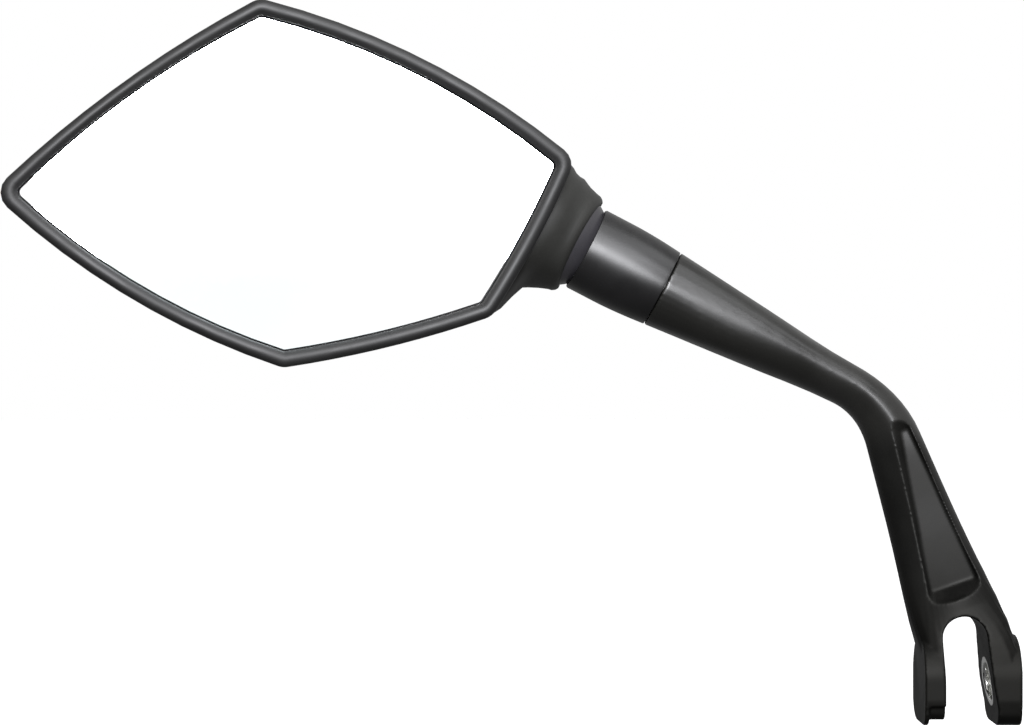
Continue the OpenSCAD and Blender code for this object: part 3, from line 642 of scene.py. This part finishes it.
@dataclass
class StemAssembly:
    """The upper stem: a turned barrel with slanted shoulder cuts, and the ball on its waist.

    Lengths along the stem run from the ball's centre towards the arm.
    """

    ball: tuple[float, float]
    tilt: float
    length: float = 34.5 * MM
    barrel_r: float = 12.55 * MM
    seam_r: float = 11.6 * MM
    shoulder: float = 9.5 * MM
    shoulder_edge: float = 0.8 * MM
    seam_lip: float = 0.15 * MM
    cut_angle: float = 4.6
    taper_from: float = 18.5 * MM
    ball_r: float = 15.0 * MM
    flat_at: float = 12.4 * MM
    waist_r: float = 10.4 * MM
    well_r: float = 8.3 * MM
    well_floor: float = 6.0 * MM
    bore_r: float = 4.25 * MM
    spigot_r: float = 7.0 * MM
    spigot_l: float = 12.15 * MM
    socket_depth: float = 6 * MM
    overlap: float = 0.5 * MM
    cut_offset: float = 0.01 * MM
    cut_reach: float = 1e-7
    ball_trim: float = 0.1 * MM
    belly_power: float = 1.8
    edge_steps: int = 6
    belly_steps: int = 18
    lip_steps: int = 4
    ball_steps: int = 40
    steps: int = 128
    smooth_angle: float = 34.0
    pieces: list[bpy.types.Object] = field(default_factory=list)

    def build(self, paint: bpy.types.Material, lit_ball: bpy.types.Material) -> None:
        """Makes the barrel and the ball.

        Args:
            paint: the stem's paint.
            lit_ball: the ball's paint, lighter than the barrel's: painted light that stands in for the lit
                bead at the neck's lip.
        """
        barrel = self._turned(self._barrel_profile())
        self._cut_shoulder(barrel)
        ball = self._turned(self._ball_profile())
        for geometry, name, coat in ((barrel, "stem_barrel", paint), (ball, "stem_ball", lit_ball)):
            geometry.transform(self._place())
            self.pieces.append(finish_piece(geometry, name, coat, Body.STEM, "cast_stem", "upper_stem"))
        for piece in self.pieces:
            piece.data.set_sharp_from_angle(angle=math.radians(self.smooth_angle))

    def _place(self) -> Matrix:
        """Where the stem's own axis lies in the model.

        Returns:
            The matrix from the stem's frame to the model's.
        """
        turn = Matrix.Rotation(math.radians(QUARTER_TURN + self.tilt), 4, "Y")
        return Matrix.Translation((self.ball[0], 0, self.ball[1])) @ turn

    def _barrel_profile(self) -> list[tuple[float, float]]:
        """The barrel's closed half section.

        Returns:
            Points as (radius, place along the stem).
        """
        edge, lip = self.shoulder_edge, self.seam_lip
        inner, floor = self.waist_r - self.overlap, self.shoulder + self.socket_depth
        end = self.length + self.spigot_l
        profile = [(inner, self.shoulder)]
        for i in range(self.edge_steps + 1):
            angle = math.radians(QUARTER_TURN * i / self.edge_steps)
            radius = self.barrel_r - edge + edge * math.sin(angle)
            profile.append((radius, self.shoulder + edge - edge * math.cos(angle)))
        for i in range(1, self.belly_steps + 1):
            share = i / self.belly_steps
            along = self.taper_from + (self.length - lip - self.taper_from) * share
            radius = self.barrel_r - (self.barrel_r - self.seam_r) * share**self.belly_power
            profile.append((radius, along))
        for i in range(1, self.lip_steps + 1):
            angle = math.radians(QUARTER_TURN * i / self.lip_steps)
            radius = self.seam_r - lip + lip * math.cos(angle)
            profile.append((radius, self.length - lip + lip * math.sin(angle)))
        profile += [
            (self.spigot_r, self.length), (self.spigot_r, end), (self.bore_r, end),
            (self.bore_r, floor), (inner, floor),
        ]
        return profile

    def _ball_profile(self) -> list[tuple[float, float]]:
        """The ball's closed half section, with its waist and the well for the springs.

        Returns:
            Points as (radius, place along the stem).
        """
        first = math.asin(-self.flat_at / self.ball_r)
        last = math.acos(self.waist_r / self.ball_r)
        points = [(self.well_r, -self.flat_at + self.ball_trim)]
        for i in range(self.ball_steps + 1):
            angle = first + (last - first) * i / self.ball_steps
            points.append((self.ball_r * math.cos(angle), self.ball_r * math.sin(angle)))
        floor = self.shoulder + self.socket_depth
        points += [
            (self.waist_r, floor), (self.bore_r, floor),
            (self.bore_r, self.well_floor), (self.well_r, self.well_floor),
        ]
        return points

    def _turned(self, profile: list[tuple[float, float]]) -> bmesh.types.BMesh:
        """Spins a closed half section round the stem's axis.

        Args:
            profile: points as (radius, place along the stem).

        Returns:
            The turned solid.
        """
        geometry = bmesh.new()
        points = [geometry.verts.new((radius, 0, along)) for radius, along in profile]
        edges = [
            geometry.edges.new((points[i], points[(i + 1) % len(points)])) for i in range(len(points))
        ]
        bmesh.ops.spin(
            geometry, geom=points + edges, axis=(0, 0, 1), cent=(0, 0, 0), angle=math.tau,
            steps=self.steps, use_merge=True, use_duplicate=False,
        )
        return geometry

    def _cut_shoulder(self, barrel: bmesh.types.BMesh) -> None:
        """Slants the shoulder away from the ball at front and rear.

        Args:
            barrel: the turned barrel, in the stem's frame.
        """
        slant = math.radians(self.cut_angle)
        for side in (-1, 1):
            cut = bmesh.ops.bisect_plane(
                barrel, geom=barrel.verts[:] + barrel.edges[:] + barrel.faces[:], dist=self.cut_reach,
                plane_co=(0, 0, self.shoulder + self.cut_offset),
                plane_no=(0, side * math.sin(slant), math.cos(slant)),
                clear_inner=True,
            )
            outline = [item for item in cut["geom_cut"] if isinstance(item, bmesh.types.BMEdge)]
            bmesh.ops.triangle_fill(barrel, edges=outline, use_beauty=True)


@dataclass
class HeadAssembly:
    """The head: shell and rim with smooth skins, and the glass with a ground edge."""

    shell_angle: float = 32.0
    rim_angle: float = 40.0
    ground: float = 0.1 * MM
    ground_from: float = 60.0
    ground_steps: int = 2
    flat_from: float = 0.9
    flat_angle: float = 1.0
    glass_angle: float = 20.0

    def build(self, nodes: dict[str, bpy.types.Object], finishes: Finishes) -> None:
        """Makes the shell, the rim and the glass.

        Args:
            nodes: the CAD nodes by name.
            finishes: the finishes.
        """
        shell = carried_over(nodes["housing"])
        skin = finish_piece(shell, "shell_skin", finishes.shell, Body.HEAD, "shell_plastic", "housing")
        skin.data.set_sharp_from_angle(angle=math.radians(self.shell_angle))
        bezel = carried_over(nodes["rim"])
        rim = finish_piece(bezel, "rim_skin", finishes.rim, Body.HEAD, "rim_plastic", "rim")
        rim.data.set_sharp_from_angle(angle=math.radians(self.rim_angle))
        self._glass(nodes["mirror_glass"], finishes.glass, finishes.glass_edge)

    def _glass(
        self, node: bpy.types.Object, silver: bpy.types.Material, dark: bpy.types.Material
    ) -> None:
        """Grinds the edge of the glass and paints it dark.

        Args:
            node: the CAD glass.
            silver: its finish.
            dark: the paint on its edge.
        """
        plate = carried_over(node)
        bmesh.ops.dissolve_limit(
            plate, angle_limit=math.radians(self.flat_angle), verts=[], edges=plate.edges
        )
        steepest = math.radians(self.ground_from)
        corners = [
            edge for edge in plate.edges if len(edge.link_faces) == 2 and edge.calc_face_angle() > steepest
        ]
        bmesh.ops.bevel(
            plate, geom=corners, offset=self.ground, offset_type="OFFSET", segments=self.ground_steps,
            profile=0.5, affect="EDGES", clamp_overlap=True, material=-1,
        )
        for face in plate.faces:
            face.material_index = 0 if abs(face.normal.y) > self.flat_from else 1
        glass = finish_piece(plate, "glass_plate", silver, Body.HEAD, "mirror_glass", "mirror_glass")
        glass.data.materials.append(dark)
        glass.data.set_sharp_from_angle(angle=math.radians(self.glass_angle))


@dataclass(frozen=True)
class Lamp:
    """One soft lamp: its place, its width and height in metres, its power in watts and its tint."""

    name: str
    place: Point
    size: tuple[float, float]
    power: float
    tint: Colour

    def hang(self, aim: Point) -> None:
        """Hangs the lamp.

        Args:
            aim: the point it faces.
        """
        data = bpy.data.lights.new(self.name, "AREA")
        data.shape = "RECTANGLE"
        data.size, data.size_y = self.size
        data.energy = self.power
        data.color = self.tint
        lamp = bpy.data.objects.new(self.name, data)
        bpy.context.scene.collection.objects.link(lamp)
        lamp.location = self.place
        lamp.rotation_euler = (Vector(aim) - Vector(self.place)).to_track_quat("-Z", "Y").to_euler()


@dataclass(frozen=True)
class Studio:
    """The camera, backdrop, floor and lamps.

    The ranges are of the view direction's X, Y or Z in the backdrop, and metres of Y on the floor.
    """

    eye: Point = (-0.13195, -0.750, 0.09237)
    middle: Point = (-0.1, 0.0, 0.09)
    focal_ratio: float = 2586.2 / 1024
    sensor: float = 36.0
    clip: tuple[float, float] = (0.01, 30.0)
    floor_z: float = -0.12
    floor_r: float = 9.0
    floor_steps: int = 96
    floor_depth: tuple[float, float] = (0.0, 0.4)
    front_floor: float = 0.05
    back_floor: float = 0.16
    seen_floor: float = 0.93
    floor_roughness: float = 0.9
    front_level: float = 1.1
    left_level: float = 0.2
    right_level: float = 0.55
    low_level: float = 0.1
    back_level: float = 0.6
    diffuse_level: float = 1.25
    side_range: tuple[float, float] = (-0.5, 0.5)
    front_range: tuple[float, float] = (-0.6, -0.93)
    back_range: tuple[float, float] = (0.45, 0.8)
    low_range: tuple[float, float] = (-0.04, 0.0)

    def place_camera(self) -> None:
        """Sets the camera square to the mirror, at the photograph's distance."""
        data = bpy.data.cameras.new("studio_camera")
        data.sensor_width = self.sensor
        data.lens = self.sensor * self.focal_ratio
        data.clip_start, data.clip_end = self.clip
        camera = bpy.data.objects.new("studio_camera", data)
        bpy.context.scene.collection.objects.link(camera)
        camera.location = self.eye
        camera.rotation_euler = (math.radians(QUARTER_TURN), 0, 0)
        bpy.context.scene.camera = camera

    def hang_backdrop(self) -> None:
        """Makes the world: white to the camera, a soft even room to the surfaces."""
        world = bpy.data.worlds.new("studio")
        world.use_nodes = True
        world.node_tree.nodes.clear()
        graph = Graph(world.node_tree)
        parts = graph.split(graph.add("ShaderNodeTexCoord").outputs["Generated"])
        side = graph.ramp(parts["X"], *self.side_range, self.left_level, self.right_level)
        front = graph.ramp(parts["Y"], *self.front_range, side, self.front_level)
        around = graph.ramp(parts["Y"], *self.back_range, front, self.back_level)
        below = graph.ramp(parts["Z"], *self.low_range, self.low_level, 1.0)
        room = graph.math("MULTIPLY", around, below)
        path = graph.add("ShaderNodeLightPath")
        diffuse = graph.math("MULTIPLY", path.outputs["Is Diffuse Ray"], self.diffuse_level)
        even = graph.math("MAXIMUM", path.outputs["Is Camera Ray"], diffuse)
        level = graph.math("MAXIMUM", room, even)
        background = graph.add("ShaderNodeBackground")
        graph.feed(background, {"Color": WHITE, "Strength": level})
        graph.feed(graph.add("ShaderNodeOutputWorld"), {"Surface": background.outputs[0]})
        bpy.context.scene.world = world

    def lay_floor(self) -> None:
        """Lays a plain pale floor well below the mirror, darker to all but the camera."""
        geometry = bmesh.new()
        bmesh.ops.create_circle(
            geometry, cap_ends=True, segments=self.floor_steps, radius=self.floor_r
        )
        geometry.transform(Matrix.Translation((0, 0, self.floor_z)))
        mesh = bpy.data.meshes.new("floor")
        geometry.to_mesh(mesh)
        geometry.free()
        floor = bpy.data.objects.new("floor", mesh)
        bpy.context.scene.collection.objects.link(floor)
        material, graph, shader, coords = start_material("floor_paper")
        seen = graph.add("ShaderNodeLightPath").outputs["Is Camera Ray"]
        depth = graph.split(coords)["Y"]
        unseen = graph.ramp(depth, *self.floor_depth, self.front_floor, self.back_floor)
        shade = graph.math("MAXIMUM", unseen, graph.math("MULTIPLY", seen, self.seen_floor))
        graph.feed(shader, {"Base Color": shade, "Roughness": self.floor_roughness})
        graph.feed(shader, {"Specular IOR Level": 0.0})
        mesh.materials.append(material)

    def light(self) -> None:
        """Hangs the lamps."""
        cool = (0.96, 0.965, 1.0)
        lamps = (
            Lamp("key", (0.0, -1.38, 0.43), (0.46, 0.52), 28.0, cool),
            Lamp("upper", (0.25, -1.1, 0.93), (0.8, 0.5), 10.0, cool),
            Lamp("left", (-1.0, -0.75, 0.85), (0.9, 0.8), 2.5, (1.0, 0.985, 0.95)),
            Lamp("top", (0.35, -0.5, 1.1), (1.2, 0.6), 5.0, (0.97, 0.98, 1.0)),
        )
        for lamp in lamps:
            lamp.hang(self.middle)


def dress_cad(nodes: dict[str, bpy.types.Object], finishes: Finishes) -> None:
    """Gives every CAD node its finish.

    Args:
        nodes: the CAD nodes by name.
        finishes: the finishes.
    """
    for name, material in finishes.by_node().items():
        nodes[name].data.materials.clear()
        nodes[name].data.materials.append(material)
        LOG.info("%s wears %s", name, material.name)


def stem_place(joints: list[dict]) -> tuple[tuple[float, float], float]:
    """Where the ball's centre is and how far the stem leans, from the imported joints.

    Args:
        joints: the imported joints.

    Returns:
        The ball's centre as (x, z) in metres, and the stem's tilt in degrees.
    """
    places = {joint["name"]: joint["pos_m"] for joint in joints}
    ball, seam = places["head_pan"], places["stem_swivel"]
    tilt = math.degrees(math.atan2(ball[2] - seam[2], seam[0] - ball[0]))
    return (ball[0], ball[2]), tilt


def main() -> None:
    """Builds the whole scene."""
    logging.basicConfig(level=logging.INFO, format="%(name)s: %(message)s")
    nodes = frame["nodes"]
    finishes = Finishes()
    dress_cad(nodes, finishes)
    ArmAssembly().build(nodes, finishes.arm)
    ball, tilt = stem_place(frame["joints"])
    StemAssembly(ball=ball, tilt=tilt).build(finishes.stem, finishes.ball)
    HeadAssembly().build(nodes, finishes)
    studio = Studio()
    studio.place_camera()
    studio.hang_backdrop()
    studio.lay_floor()
    studio.light()
    bpy.context.scene.view_settings.view_transform = "Standard"


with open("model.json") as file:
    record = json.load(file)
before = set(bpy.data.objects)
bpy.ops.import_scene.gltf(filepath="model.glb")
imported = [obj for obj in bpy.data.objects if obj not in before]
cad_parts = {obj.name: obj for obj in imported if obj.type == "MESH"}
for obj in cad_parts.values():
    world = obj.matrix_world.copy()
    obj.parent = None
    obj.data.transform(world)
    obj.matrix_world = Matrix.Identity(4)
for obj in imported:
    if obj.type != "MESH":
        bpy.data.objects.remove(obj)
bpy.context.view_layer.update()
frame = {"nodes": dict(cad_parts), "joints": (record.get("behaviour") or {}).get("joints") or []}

if __name__ == "__main__":
    main()
